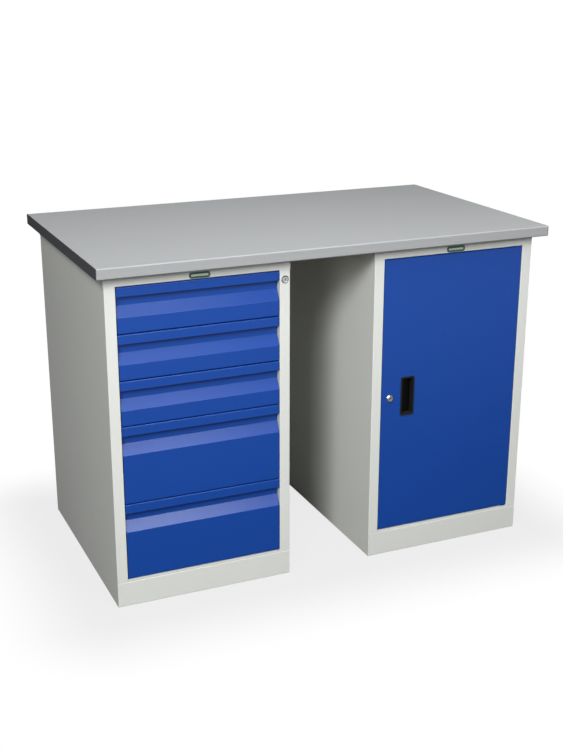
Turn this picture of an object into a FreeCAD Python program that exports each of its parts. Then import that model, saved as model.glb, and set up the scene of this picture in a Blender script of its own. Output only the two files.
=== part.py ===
import FreeCAD, Part
import math
import os

# A two-pedestal steel workbench for metalwork: a steel-clad worktop on a drawer pedestal (left)
# and a cupboard pedestal (right). Millimetres, +Z up, front towards -Y, origin on the floor
# under the middle of the worktop. Pedestal pieces are drawn in pedestal coordinates, with x
# from the left wall, y from the front face and z from the floor, and then moved into place.

os.makedirs("parts", exist_ok=True)

# Worktop
core_thickness = 24.5
cover_sheet = 1.0
cover_round = 3.0
cover_return = 20.0
end_band = 1.5
side_overhang = 25.0
front_overhang = 34.0
rear_overhang = 36.0
knee_width = 230.0

# Worktop screws
screw_diameter = 5.0
screw_length = 16.0
screw_head_span = 10.0
screw_head_height = 3.0
screw_inset_x = 60.0
screw_inset_y = 80.0

# Pedestal carcass
pedestal_width = 460.0
pedestal_depth = 630.0
body_sheet = 1.2
body_round = 1.8
stile_width = 27.0
stile_return = 22.0
rear_flange = 15.0
plinth_height = 66.0
plinth_ledge = 30.0
plinth_tab = 20.0
seam_setback = 0.6
seam_depth = 8.0
floor_flange = 20.0
sill_height = 5.3
sill_depth = 20.0
foot_flange = 20.0
foot_inset = 30.0
top_rail = 27.5
rail_ledge = 25.0
panel_gap = 1.0

# Drawer stack, from the top down
small_front = 110.5
large_front = 197.0
small_count = 3
large_count = 2
front_gap = 2.5
bottom_gap = 7.0
reveal = 1.5

# Drawer front: a hemmed lip over a slanted finger groove
drawer_sheet = 1.0
drawer_round = 2.0
lip_height = 23.0
hem_height = 12.0
groove_depth = 16.0
groove_back = 46.0
slant_height = 26.5
front_foot = 14.0

# Drawer tray
tray_depth = 564.0
tray_top_drop = 24.0
tray_bottom_rise = 6.0
tray_return = 8.0

# Telescopic slides
slide_width = 12.7
slide_height = 45.0
slide_length = 550.0
slide_sheet = 1.2
slide_gap = 0.4
slide_start = 28.0
slide_rise = 8.0

# Posts that carry the slides
post_width = 40.0
front_post = 44.0
rear_post = 500.0

# Lock cylinders, one in the drawer stile and one in the door
lock_body = 14.0
lock_bezel = 19.5
plug_diameter = 9.0
running_fit = 0.05
hole_play = 0.1
bezel_chamfer = 2.2
nut_thickness = 4.0
nut_clearance = 0.7
key_slot_width = 1.6
key_slot_height = 6.5
key_slot_depth = 8.0
plug_recess = 1.0
tang_span = 7.0
cam_screw_span = 8.0
cam_screw_height = 1.6
cam_sheet = 2.0
cam_gap = 0.3

# Central lock of the drawers
drawer_lock_drop = 24.2
drawer_bezel_height = 3.0
drawer_lock_length = 18.0
crank_radius = 6.5
crank_pin = 4.0
crank_hub = 7.0
crank_lobe = 4.0
crank_slot_play = 0.35
crank_slot_run = 0.3
bar_thickness = 2.0
bar_width = 12.0
bar_wall_gap = 1.3
bar_end = 6.0
bar_setback = 2.0
catch_reach = 10.0
catch_height = 10.0
catch_thickness = 2.0
catch_drop = 20.0
catch_setback = 4.0
tab_lift = 1.5
tab_height = 14.0
tab_overlap = 4.3
guide_wall = 2.3
guide_height = 16.0
guide_play = 0.2
stile_slot_width = 4.0
stile_slot_height = 9.0
stile_slot_setback = 3.0
stile_slot_drop = 10.0

# Cupboard door
door_depth = 20.0
door_return = 12.0
door_fitting_z = 442.0
door_lock_inset = 23.0
door_bezel_height = 5.0
latch_gap = 0.3
cam_length = 40.0
cam_width = 14.0
stiffener_depth = 15.0
stiffener_crown = 40.0
stiffener_flange = 15.0
stiffener_gap = 3.0

# Recessed pull of the door
pull_inset = 74.5
pull_width = 39.5
pull_height = 105.5
pull_proud = 2.0
pull_rim = 3.8
pull_wall = 2.0
pull_depth = 20.0
pull_corner = 5.0
pull_fit = 0.2

# Door pivots
hinge_inset = 10.0
hinge_setback = 6.0
hinge_pin = 5.0
hinge_pin_reach = 12.0
hinge_head = 8.0
hinge_head_height = 2.0
bush_width = 14.0
bush_depth = 13.0
bush_neck = 9.0
bush_neck_height = 8.0
bush_play = 0.3

# Cupboard shelf
shelf_height = 420.0
shelf_sheet = 1.0
shelf_flange = 25.0
shelf_front = 40.0
shelf_depth = 560.0
shelf_gap = 0.6
clip_width = 20.0
clip_reach = 10.8
clip_back = 16.0
clip_lip = 6.0
clip_inset = 40.0

# Sizes that follow from the ones above
front_heights = [small_front] * small_count + [large_front] * large_count
stack_height = sum(front_heights) + len(front_heights) * front_gap + bottom_gap
sill_top = plinth_height + sill_height
opening_top = plinth_height + stack_height
pedestal_height = opening_top + top_rail
core_top = pedestal_height + core_thickness
bench_height = core_top + cover_sheet
bench_length = 2 * side_overhang + 2 * pedestal_width + knee_width
bench_depth = front_overhang + pedestal_depth + rear_overhang
wall_top = pedestal_height - body_sheet
inner_left = body_sheet
inner_right = pedestal_width - body_sheet
front_left = stile_width + reveal
front_right = pedestal_width - stile_width - reveal
back_face = pedestal_depth - body_sheet
tray_left = stile_width + slide_width
tray_right = pedestal_width - tray_left
hinge_x = front_right - hinge_inset
door_lock_length = stile_return + latch_gap

drawer_pedestal = FreeCAD.Vector(-bench_length / 2 + side_overhang, -bench_depth / 2 + front_overhang, 0)
cupboard = drawer_pedestal + FreeCAD.Vector(pedestal_width + knee_width, 0, 0)


def box(x, y, z):
    """A block between pairs of limits along x, y and z."""
    corner = FreeCAD.Vector(x[0], y[0], z[0])
    return Part.makeBox(x[1] - x[0], y[1] - y[0], z[1] - z[0], corner)


def rod(diameter, centre, start, length, axis):
    """A round bar along an axis letter, centred on the two other coordinates."""
    if axis == "y":
        base = FreeCAD.Vector(centre[0], start, centre[1])
        direction = FreeCAD.Vector(0, 1, 0)
    else:
        base = FreeCAD.Vector(centre[0], centre[1], start)
        direction = FreeCAD.Vector(0, 0, 1)
    return Part.makeCylinder(diameter / 2, length, base, direction)


def offset_path(points, distance):
    """The path that runs at a distance on the right-hand side of an open path."""
    units = []
    for start, end in zip(points, points[1:]):
        run = math.hypot(end[0] - start[0], end[1] - start[1])
        units.append(((end[0] - start[0]) / run, (end[1] - start[1]) / run))
    moved = []
    for index, point in enumerate(points):
        before = units[max(index - 1, 0)]
        after = units[min(index, len(units) - 1)]
        side = (before[1] + after[1], -before[0] - after[0])
        scale = distance / (side[0] * after[1] - side[1] * after[0])
        moved.append((point[0] + side[0] * scale, point[1] + side[1] * scale))
    return moved


def turn_sign(before, point, after):
    """Positive where a path turns left at a point, negative where it turns right."""
    return (point[0] - before[0]) * (after[1] - point[1]) - (point[1] - before[1]) * (after[0] - point[0])


def rounded_edges(points, radii, place):
    """Lines and tangent arcs along an open path; a corner with no radius stays sharp."""
    edges = []
    start = place(points[0])
    for before, point, after, radius in zip(points, points[1:], points[2:], radii):
        corner = place(point)
        if radius == 0:
            edges.append(Part.LineSegment(start, corner).toShape())
            start = corner
            continue
        back = (place(before) - corner).normalize()
        ahead = (place(after) - corner).normalize()
        half = back.getAngle(ahead) / 2
        reach = radius / math.tan(half)
        middle = (back + ahead).normalize() * (radius / math.sin(half) - radius)
        edges.append(Part.LineSegment(start, corner + back * reach).toShape())
        arc = Part.Arc(corner + back * reach, corner + middle, corner + ahead * reach)
        edges.append(arc.toShape())
        start = corner + ahead * reach
    edges.append(Part.LineSegment(start, place(points[-1])).toShape())
    return edges


def placer(plane, level):
    """How a flat outline is laid in space: on the xy, xz or yz plane at a level."""
    if plane == "xy":
        return lambda p: FreeCAD.Vector(p[0], p[1], level)
    if plane == "xz":
        return lambda p: FreeCAD.Vector(p[0], level, p[1])
    return lambda p: FreeCAD.Vector(level, p[0], p[1])


def sweep_direction(plane, length):
    """The vector that pulls an outline out of its plane."""
    axes = {"xy": (0, 0, 1), "xz": (0, 1, 0), "yz": (1, 0, 0)}
    return FreeCAD.Vector(*axes[plane]) * length


def folded_sheet(plane, points, sheet, radius, limits):
    """A bent sheet: its section follows a path, with the metal on the path's right.

    Bends are rounded on their outside and sharp on their inside.
    """
    place = placer(plane, limits[0])
    near_radii = []
    far_radii = []
    for before, point, after in zip(points, points[1:], points[2:]):
        turns_left = turn_sign(before, point, after) > 0
        near_radii.append(0 if turns_left else radius)
        far_radii.append(radius if turns_left else 0)
    far_points = offset_path(points, sheet)
    near = rounded_edges(points, near_radii, place)
    far = rounded_edges(far_points[::-1], far_radii[::-1], place)
    caps = [
        Part.LineSegment(place(points[-1]), place(far_points[-1])).toShape(),
        Part.LineSegment(place(far_points[0]), place(points[0])).toShape(),
    ]
    outline = Part.Wire(near + caps[:1] + far + caps[1:])
    return Part.Face(outline).extrude(sweep_direction(plane, limits[1] - limits[0]))


def rounded_block(plane, u, v, radius, limits):
    """A block whose four edges across a plane are rounded."""
    place = placer(plane, limits[0])
    middle = ((u[0] + u[1]) / 2, v[0])
    points = [middle, (u[1], v[0]), (u[1], v[1]), (u[0], v[1]), (u[0], v[0]), middle]
    outline = Part.Wire(rounded_edges(points, [radius] * 4, place))
    return Part.Face(outline).extrude(sweep_direction(plane, limits[1] - limits[0]))


def prism(sides, corner_span, centre, start, length, plane):
    """A bar with flat sides, given across its corners, pulled out of a plane."""
    place = placer(plane, start)
    points = []
    for side in range(sides + 1):
        angle = 2 * math.pi * (side + 0.5) / sides
        u = centre[0] + corner_span / 2 * math.cos(angle)
        v = centre[1] + corner_span / 2 * math.sin(angle)
        points.append(place((u, v)))
    return Part.Face(Part.makePolygon(points)).extrude(sweep_direction(plane, length))


def joined(shapes):
    """One solid from shapes that share faces or volume."""
    return shapes[0].fuse(shapes[1:]).removeSplitter()


def mirrored(shape):
    """The same piece on the other side of a pedestal."""
    return shape.mirror(FreeCAD.Vector(pedestal_width / 2, 0, 0), FreeCAD.Vector(1, 0, 0))


def save(name, solids, place=FreeCAD.Vector(0, 0, 0)):
    """Write one named piece, or one group of like pieces, in its place on the bench."""
    moved = [solid.translated(place) for solid in solids]
    shape = moved[0] if len(moved) == 1 else Part.makeCompound(moved)
    shape.exportStep("parts/" + name + ".step")


# Worktop

def screw_places():
    """Where the worktop screws stand, in bench coordinates."""
    places = []
    for pedestal in (drawer_pedestal, cupboard):
        for x in (screw_inset_x, pedestal_width - screw_inset_x):
            for y in (screw_inset_y, pedestal_depth - screw_inset_y):
                places.append((pedestal.x + x, pedestal.y + y))
    return places


def screw_shank(place, start, play):
    """A screw's shank, or with some play its hole, as a twelve-sided bar."""
    return prism(12, screw_diameter + 2 * play, place, start, screw_length, "xy")


def make_worktop():
    half_length = bench_length / 2
    half_depth = bench_depth / 2
    clad = (-half_length + end_band, half_length - end_band)
    cover_foot = pedestal_height - cover_sheet
    core_depth = (-half_depth + cover_sheet, half_depth - cover_sheet)
    core = box(clad, core_depth, (pedestal_height, core_top))
    screws = []
    for place in screw_places():
        core = core.cut(screw_shank(place, pedestal_height, running_fit))
        head = prism(6, screw_head_span, place, wall_top - screw_head_height, screw_head_height, "xy")
        screws.append(joined([screw_shank(place, wall_top, 0), head]))
    section = [
        (-half_depth + cover_return, cover_foot),
        (-half_depth, cover_foot),
        (-half_depth, bench_height),
        (half_depth, bench_height),
        (half_depth, cover_foot),
        (half_depth - cover_return, cover_foot),
    ]
    cover = folded_sheet("yz", section, cover_sheet, cover_round, clad)
    bands = []
    band_height = (cover_foot, bench_height)
    for limits in ((-half_length, clad[0]), (clad[1], half_length)):
        bands.append(rounded_block("yz", (-half_depth, half_depth), band_height, cover_round, limits))
    save("worktop_core", [core])
    save("worktop_steel_cover", [cover])
    save("worktop_end_bands", bands)
    save("worktop_screws", screws)


# Pedestal carcass

def side_panel():
    """The left wall with its stile, rear flange and foot."""
    wall = [(0, 0), (0, pedestal_depth), (rear_flange, pedestal_depth)]
    stile = [(stile_width, stile_return), (stile_width, 0)]
    head = [(0, body_sheet)] + wall[1:]
    lower = folded_sheet("xy", wall, body_sheet, body_round, (0, plinth_height))
    middle = folded_sheet("xy", stile + wall, body_sheet, body_round, (plinth_height, opening_top))
    upper = folded_sheet("xy", head, body_sheet, body_round, (opening_top, wall_top))
    foot_run = (plinth_ledge, pedestal_depth - foot_inset)
    foot = box((0, body_sheet + foot_flange), foot_run, (0, body_sheet))
    return joined([lower, middle, upper, foot])


def back_panel():
    return box(
        (inner_left + panel_gap, inner_right - panel_gap),
        (back_face - body_sheet, back_face),
        (plinth_height, wall_top),
    )


def floor_panel():
    """The bottom of the compartment: sides folded down behind the plinth, a raised sill in front."""
    low = plinth_height - floor_flange
    section = [
        (inner_left, low),
        (inner_left, plinth_height),
        (inner_right, plinth_height),
        (inner_right, low),
    ]
    run = (seam_setback, back_face - panel_gap)
    panel = folded_sheet("xz", section, body_sheet, 0, run)
    notch = box((0, pedestal_width), (0, plinth_ledge + panel_gap), (0, plinth_height - body_sheet))
    step = [
        (seam_setback, plinth_height),
        (seam_setback, sill_top),
        (sill_depth, sill_top),
        (sill_depth, plinth_height),
    ]
    sill = folded_sheet("yz", step, body_sheet, 0, (stile_width, pedestal_width - stile_width))
    return joined([panel.cut(notch), sill])


def plinth():
    """The front skirting under the floor panel, tabbed to both walls."""
    top = plinth_height - body_sheet
    section = [(plinth_tab, 0), (0, 0), (0, top), (plinth_ledge, top)]
    skirting = folded_sheet("yz", section, body_sheet, body_round, (inner_left, inner_right))
    tab = box((inner_left, inner_left + body_sheet), (body_sheet, plinth_tab), (body_sheet, top - body_sheet))
    return joined([skirting, tab, mirrored(tab)])


def pedestal_top():
    """The lid: its front skirt is the top rail, its other skirts lap over the walls."""
    lap = (-body_sheet, pedestal_width + body_sheet)
    outside = rounded_block(
        "xy",
        lap,
        (0, pedestal_depth + body_sheet),
        body_round,
        (opening_top, pedestal_height),
    )
    inside = box((0, pedestal_width), (body_sheet, pedestal_depth), (opening_top, wall_top))
    ledge = box(
        (inner_left + panel_gap, inner_right - panel_gap),
        (body_sheet, rail_ledge),
        (opening_top, opening_top + body_sheet),
    )
    lid = joined([outside.cut(inside), ledge])
    for x in (screw_inset_x, pedestal_width - screw_inset_x):
        for y in (screw_inset_y, pedestal_depth - screw_inset_y):
            lid = lid.cut(screw_shank((x, y), wall_top, running_fit))
    return lid


def save_carcass(name, place, right_side, floor, lid, skirting):
    save(name + "_left_side", [side_panel()], place)
    save(name + "_right_side", [right_side], place)
    save(name + "_back", [back_panel()], place)
    save(name + "_floor", [floor], place)
    save(name + "_plinth", [skirting], place)
    save(name + "_top", [lid], place)


# Drawers

def front_spans():
    """Lower and upper edge of each drawer front, from the top drawer down."""
    spans = []
    top = opening_top - front_gap
    for height in front_heights:
        spans.append((top - height, top))
        top -= height + front_gap
    return spans


def tray_span(span):
    """Lower and upper edge of the tray behind a drawer front."""
    return (span[0] + tray_bottom_rise, span[1] - tray_top_drop)


def slide_middle(span):
    return tray_span(span)[0] + slide_rise + slide_height / 2


def catch_top(span):
    return tray_span(span)[1] - catch_drop + catch_height


def drawer_front(span):
    """A front folded from one sheet: lip, groove, slanted grip and flat face."""
    bottom, top = span
    groove_floor = top - groove_back
    section = [
        (0, top - lip_height + drawer_sheet),
        (0, top),
        (groove_depth, top),
        (groove_depth, groove_floor),
        (drawer_sheet, groove_floor - slant_height),
        (drawer_sheet, bottom + drawer_sheet),
        (front_foot, bottom + drawer_sheet),
    ]
    width = (front_left, front_right)
    sheet = folded_sheet("yz", section, drawer_sheet, drawer_round, width)
    return joined([sheet, lip_hem(top, width)])


def lip_hem(top, width):
    """The lip's lower edge, doubled back on itself with a round fold."""
    place = placer("yz", width[0])
    fold = top - lip_height + drawer_sheet
    head = fold + hem_height - drawer_sheet
    corners = [(0, fold), (0, head), (2 * drawer_sheet, head), (2 * drawer_sheet, fold)]
    edges = []
    for start, end in zip(corners, corners[1:]):
        edges.append(Part.LineSegment(place(start), place(end)).toShape())
    lowest = place((drawer_sheet, fold - drawer_sheet))
    edges.append(Part.Arc(place(corners[-1]), lowest, place(corners[0])).toShape())
    return Part.Face(Part.Wire(edges)).extrude(FreeCAD.Vector(width[1] - width[0], 0, 0))


def drawer_tray(span):
    """An open box with rolled-in top edges, and the catch that the lock bar holds."""
    low, high = tray_span(span)
    section = [
        (tray_right - tray_return, high),
        (tray_right, high),
        (tray_right, low),
        (tray_left, low),
        (tray_left, high),
        (tray_left + tray_return, high),
    ]
    run = (groove_depth, groove_depth + tray_depth)
    trough = folded_sheet("xz", section, drawer_sheet, drawer_round, run)
    inside = (tray_left + drawer_sheet, tray_right - drawer_sheet)
    wall_height = (low + drawer_sheet, high - drawer_sheet)
    front_wall = box(inside, (run[0], run[0] + drawer_sheet), wall_height)
    rear_wall = box(inside, (run[1] - drawer_sheet, run[1]), wall_height)
    catch_front = bar_front() + bar_thickness + catch_setback
    catch = box(
        (tray_right - drawer_sheet, tray_right + catch_reach),
        (catch_front, catch_front + catch_thickness),
        (catch_top(span) - catch_height, catch_top(span)),
    )
    return joined([trough, front_wall, rear_wall, catch])


def channel(web, toe, middle, height):
    """One slide member: a web with two flanges that reach to the toe."""
    low = middle - height / 2
    high = middle + height / 2
    section = [(toe, low), (web, low), (web, high), (toe, high)]
    if toe < web:
        section = section[::-1]
    run = (slide_start, slide_start + slide_length)
    return folded_sheet("xz", section, slide_sheet, 0, run)


def slide_members(middle):
    """Cabinet, middle and drawer member of the left slide, nested inside each other."""
    step = slide_sheet + slide_gap
    cabinet = channel(stile_width, tray_left - 2 * step, middle, slide_height)
    telescope = channel(stile_width + step, tray_left - step, middle, slide_height - 2 * step)
    inner = channel(tray_left, stile_width + 2 * step, middle, slide_height - 4 * step)
    return cabinet, telescope, inner


def runner_post(front):
    """An upright channel between the floor panel and the lid that carries the slides."""
    section = [
        (inner_left, front + post_width),
        (stile_width, front + post_width),
        (stile_width, front),
        (inner_left, front),
    ]
    return folded_sheet("xy", section, body_sheet, 0, (plinth_height, wall_top))


def make_drawers():
    cabinet_rails = []
    for number, span in enumerate(front_spans(), start=1):
        name = "drawer_" + str(number)
        cabinet, telescope, inner = slide_members(slide_middle(span))
        cabinet_rails += [cabinet, mirrored(cabinet)]
        save(name + "_front", [drawer_front(span)], drawer_pedestal)
        save(name + "_tray", [drawer_tray(span)], drawer_pedestal)
        save(name + "_middle_rails", [telescope, mirrored(telescope)], drawer_pedestal)
        save(name + "_inner_rails", [inner, mirrored(inner)], drawer_pedestal)
    posts = [runner_post(front) for front in (front_post, rear_post)]
    posts += [mirrored(post) for post in posts]
    save("drawer_pedestal_cabinet_rails", cabinet_rails, drawer_pedestal)
    save("drawer_pedestal_runner_posts", posts, drawer_pedestal)


# Lock cylinders

def lock_barrel(centre, bezel_height, length):
    """The fixed housing of a lock, with a chamfered bezel in front of the panel."""
    bezel = rod(lock_bezel, centre, -bezel_height, bezel_height, "y")
    front_edges = [edge for edge in bezel.Edges if edge.BoundBox.YMax < -bezel_height / 2]
    bezel = bezel.makeChamfer(bezel_chamfer, front_edges)
    body = joined([bezel, prism(12, lock_body, centre, 0, length, "xz")])
    return body.cut(rod(plug_diameter + 2 * running_fit, centre, -bezel_height, bezel_height + length, "y"))


def lock_nut(centre, panel, corner_span):
    """The nut that holds a lock housing against the back of its panel."""
    blank = prism(6, corner_span, centre, panel, nut_thickness, "xz")
    return blank.cut(prism(12, lock_body + 2 * hole_play, centre, panel, nut_thickness, "xz"))


def lock_plug(centre, bezel_height, length):
    """The turning core of a lock, with its key slot and a square tang for the cam."""
    front = plug_recess - bezel_height
    shoulder = length + cam_gap
    core = rod(plug_diameter, centre, front, shoulder - front, "y")
    slot = box(
        (centre[0] - key_slot_width / 2, centre[0] + key_slot_width / 2),
        (front, front + key_slot_depth),
        (centre[1] - key_slot_height / 2, centre[1] + key_slot_height / 2),
    )
    screw = prism(6, cam_screw_span, centre, shoulder + cam_sheet, cam_screw_height, "xz")
    return joined([core.cut(slot), lock_tang(centre, shoulder), screw])


def lock_tang(centre, shoulder):
    """The square end of a lock plug, and the hole for it in the cam."""
    return prism(4, tang_span, centre, shoulder, cam_sheet, "xz")


def nut_span():
    """Widest nut that turns between the stile's return and the wall."""
    return stile_width - 2 * body_sheet - 2 * nut_clearance


# Central lock of the drawers

def drawer_lock_centre():
    return (pedestal_width - stile_width / 2, opening_top - drawer_lock_drop)


def crank_rest():
    """Where the crank pin stands when the drawers are free."""
    x, z = drawer_lock_centre()
    offset = crank_radius * math.sqrt(0.5)
    return (x + offset, z + offset)


def bar_front():
    """Front face of the lock bar, behind the returns of the stiles."""
    return stile_return + bar_setback


def bar_sides():
    right = inner_right - bar_wall_gap
    return (right - bar_width, right)


def crank():
    """The disc on the back of the drawer lock, with the pin that drives the bar."""
    centre = drawer_lock_centre()
    pin_centre = crank_rest()
    front = drawer_lock_length + cam_gap
    back = front + cam_sheet
    hub = rod(2 * crank_hub, centre, front, cam_sheet, "y")
    lobe = rod(2 * crank_lobe, pin_centre, front, cam_sheet, "y")
    disc = joined([hub, lobe]).cut(lock_tang(centre, front))
    pin_end = bar_front() + bar_thickness + cam_gap
    return joined([disc, rod(crank_pin, pin_centre, back, pin_end - back, "y")])


def tab_span(span):
    """Lower and upper edge of the bar's tab above a drawer's catch."""
    low = catch_top(span) + tab_lift
    return (low, low + tab_height)


def lock_bar():
    """The upright bar whose tabs drop in front of the drawer catches."""
    spans = front_spans()
    left, right = bar_sides()
    thick = (bar_front(), bar_front() + bar_thickness)
    pin_x, pin_z = crank_rest()
    bottom = tab_span(spans[-1])[0] - bar_end
    pieces = [box((left, right), thick, (bottom, pin_z + crank_pin + bar_end))]
    tab_tip = tray_right + catch_reach - tab_overlap
    for span in spans:
        pieces.append(box((tab_tip, left), thick, tab_span(span)))
    reach = crank_pin / 2 + crank_slot_run
    half_height = crank_pin / 2 + crank_slot_play
    axis_x = drawer_lock_centre()[0]
    slot_width = (pin_x - reach, axis_x + crank_radius + reach)
    slot = box(slot_width, thick, (pin_z - half_height, pin_z + half_height))
    return joined(pieces).cut(slot)


def bar_guide(middle):
    """A strap on the wall that keeps the lock bar upright."""
    left, right = bar_sides()
    height = (middle - guide_height / 2, middle + guide_height / 2)
    front = bar_front()
    back = front + bar_thickness
    strap = box((left - guide_wall, inner_right), (front - guide_wall, back + guide_wall), height)
    way = box((left - guide_play, right + guide_play), (front - guide_play, back + guide_play), height)
    return strap.cut(way)


def make_drawer_lock():
    centre = drawer_lock_centre()
    tabs = [tab_span(span) for span in front_spans()]
    guides = []
    for upper, lower in (tabs[:2], tabs[-2:]):
        guides.append(bar_guide((upper[0] + lower[1]) / 2))
    barrel = lock_barrel(centre, drawer_bezel_height, drawer_lock_length)
    save("drawer_lock_barrel", [barrel], drawer_pedestal)
    save("drawer_lock_nut", [lock_nut(centre, body_sheet, nut_span())], drawer_pedestal)
    save("drawer_lock_plug", [lock_plug(centre, drawer_bezel_height, drawer_lock_length)], drawer_pedestal)
    save("drawer_lock_crank", [crank()], drawer_pedestal)
    save("drawer_lock_bar", [lock_bar()], drawer_pedestal)
    save("drawer_lock_guides", guides, drawer_pedestal)


def make_drawer_pedestal():
    centre = drawer_lock_centre()
    hole = rod(lock_body + 2 * hole_play, centre, 0, body_sheet, "y")
    slot_top = centre[1] - stile_slot_drop + stile_slot_height / 2
    slot = box(
        (pedestal_width - stile_width, pedestal_width - stile_width + body_sheet),
        (stile_slot_setback, stile_slot_setback + stile_slot_width),
        (slot_top - stile_slot_height, slot_top),
    )
    right_side = mirrored(side_panel()).cut(hole).cut(slot)
    seam = box(
        (stile_width + seam_depth, pedestal_width - stile_width - seam_depth),
        (0, seam_depth),
        (plinth_height - body_sheet, plinth_height),
    )
    floor = floor_panel().cut(seam)
    save_carcass("drawer_pedestal", drawer_pedestal, right_side, floor, pedestal_top(), plinth())


# Cupboard

def door_span():
    """Lower and upper edge of the door."""
    return (plinth_height + bottom_gap, opening_top - front_gap)


def door_lock_centre():
    return (front_left + door_lock_inset, door_fitting_z)


def pull_centre():
    return front_left + pull_inset


def pull_block(margin, y, corner):
    """A rounded block of the pull's outline, drawn in by a margin."""
    half_width = pull_width / 2 - margin
    half_height = pull_height / 2 - margin
    return rounded_block(
        "xz",
        (pull_centre() - half_width, pull_centre() + half_width),
        (door_fitting_z - half_height, door_fitting_z + half_height),
        corner,
        y,
    )


def door_panel():
    """A pan with rounded front edges, and the holes for lock, pull and pivots."""
    bottom, top = door_span()
    pan = box((front_left, front_right), (0, door_depth), (bottom, top))
    front_edges = [edge for edge in pan.Edges if edge.BoundBox.YMax < door_depth / 2]
    pan = pan.makeFillet(drawer_round, front_edges)
    inner = (front_left + drawer_sheet, front_right - drawer_sheet)
    mouth = (front_left + door_return, front_right - door_return)
    height = (bottom + drawer_sheet, top - drawer_sheet)
    pan = pan.cut(box(inner, (drawer_sheet, door_depth - drawer_sheet), height))
    pan = pan.cut(box(mouth, (drawer_sheet, door_depth), height))
    pan = pan.cut(rod(lock_body + 2 * hole_play, door_lock_centre(), 0, drawer_sheet, "y"))
    pan = pan.cut(pull_block(pull_rim - pull_wall - pull_fit, (0, drawer_sheet), pull_corner))
    return pan.cut(rod(bush_neck + 2 * hole_play, (hinge_x, hinge_setback), bottom, top - bottom, "z"))


def door_stiffener():
    """A hat section down the middle of the door's back."""
    bottom, top = door_span()
    middle = (front_left + front_right) / 2
    crown = (middle - stiffener_crown / 2, middle + stiffener_crown / 2)
    near = 2 * drawer_sheet
    far = drawer_sheet + stiffener_depth
    section = [
        (crown[0] - stiffener_flange, near),
        (crown[0], near),
        (crown[0], far),
        (crown[1], far),
        (crown[1], near),
        (crown[1] + stiffener_flange, near),
    ]
    return folded_sheet("xy", section, drawer_sheet, 0, (bottom + stiffener_gap, top - stiffener_gap))


def door_pull():
    """A moulded cup set in the door, with a flat rim on the front."""
    rim = pull_block(0, (-pull_proud, 0), pull_corner)
    cup_margin = pull_rim - pull_wall
    cup = pull_block(cup_margin, (0, pull_depth + pull_wall - pull_proud), pull_corner)
    hollow = pull_block(pull_rim, (-pull_proud, pull_depth - pull_proud), pull_corner - pull_wall)
    return joined([rim, cup]).cut(hollow)


def door_cam():
    """The tongue behind the door lock; it hangs down when the door is free."""
    x, z = door_lock_centre()
    front = door_lock_length + cam_gap
    tongue = box((x - cam_width / 2, x + cam_width / 2), (front, front + cam_sheet), (z - cam_length, z))
    head = rod(cam_width, (x, z), front, cam_sheet, "y")
    return joined([tongue, head]).cut(lock_tang((x, z), front))


def hinge_pin_at(shoulder, side):
    """A pin riveted through a sheet; side is 1 above the shoulder and -1 below it."""
    sheets = 2 * body_sheet if side > 0 else body_sheet
    gap = bottom_gap if side > 0 else front_gap
    reach = gap + hinge_pin_reach
    start = shoulder - sheets if side > 0 else shoulder - reach
    head_start = shoulder - sheets - hinge_head_height if side > 0 else shoulder + sheets
    shaft = rod(hinge_pin, (hinge_x, hinge_setback), start, reach + sheets, "z")
    head = prism(12, hinge_head, (hinge_x, hinge_setback), head_start, hinge_head_height, "xy")
    return joined([shaft, head])


def pin_hole(bottom):
    """The hole for a hinge pin through one sheet."""
    return rod(hinge_pin + 2 * hole_play, (hinge_x, hinge_setback), bottom, body_sheet, "z")


def hinge_bush(edge, side):
    """A moulded block under or over the door that turns on a hinge pin."""
    gap = bottom_gap - sill_height if side > 0 else front_gap
    block_ends = sorted((edge, edge - side * (gap - bush_play)))
    neck_start = edge if side > 0 else edge - bush_neck_height
    block = box(
        (hinge_x - bush_width / 2, hinge_x + bush_width / 2),
        (hinge_setback - bush_depth / 2, hinge_setback + bush_depth / 2),
        block_ends,
    )
    neck = prism(12, bush_neck, (hinge_x, hinge_setback), neck_start, bush_neck_height, "xy")
    bore_length = bush_neck_height + gap
    bore_start = min(block_ends[0], neck_start)
    bore = rod(hinge_pin + 2 * running_fit, (hinge_x, hinge_setback), bore_start, bore_length, "z")
    return joined([block, neck]).cut(bore)


def make_door():
    bottom, top = door_span()
    centre = door_lock_centre()
    pins = [hinge_pin_at(plinth_height, 1), hinge_pin_at(opening_top, -1)]
    bushes = [hinge_bush(bottom, 1), hinge_bush(top, -1)]
    save("door_panel", [door_panel()], cupboard)
    save("door_stiffener", [door_stiffener()], cupboard)
    save("door_pull", [door_pull()], cupboard)
    save("door_lock_barrel", [lock_barrel(centre, door_bezel_height, door_lock_length)], cupboard)
    save("door_lock_nut", [lock_nut(centre, drawer_sheet, nut_span())], cupboard)
    save("door_lock_plug", [lock_plug(centre, door_bezel_height, door_lock_length)], cupboard)
    save("door_lock_cam", [door_cam()], cupboard)
    save("door_hinge_pins", pins, cupboard)
    save("door_hinge_bushes", bushes, cupboard)


def shelf():
    """A shelf folded down on all four sides."""
    left = inner_left + body_sheet + shelf_gap
    right = pedestal_width - left
    low = shelf_height - shelf_flange
    section = [(left, low), (left, shelf_height), (right, shelf_height), (right, low)]
    run = (shelf_front, shelf_front + shelf_depth)
    tray = folded_sheet("xz", section, shelf_sheet, 0, run)
    inside = (left + shelf_sheet, right - shelf_sheet)
    drop = (low, shelf_height - shelf_sheet)
    front = box(inside, (run[0], run[0] + shelf_sheet), drop)
    rear = box(inside, (run[1] - shelf_sheet, run[1]), drop)
    return joined([tray, front, rear])


def shelf_clip(front):
    """A hooked clip on the wall that holds the lower edge of the shelf."""
    seat = shelf_height - shelf_flange
    low = seat - body_sheet
    tip = inner_left + clip_reach
    section = [(tip, low + clip_lip), (tip, low), (inner_left, low), (inner_left, low + clip_back)]
    return folded_sheet("xz", section, body_sheet, 0, (front, front + clip_width))


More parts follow.
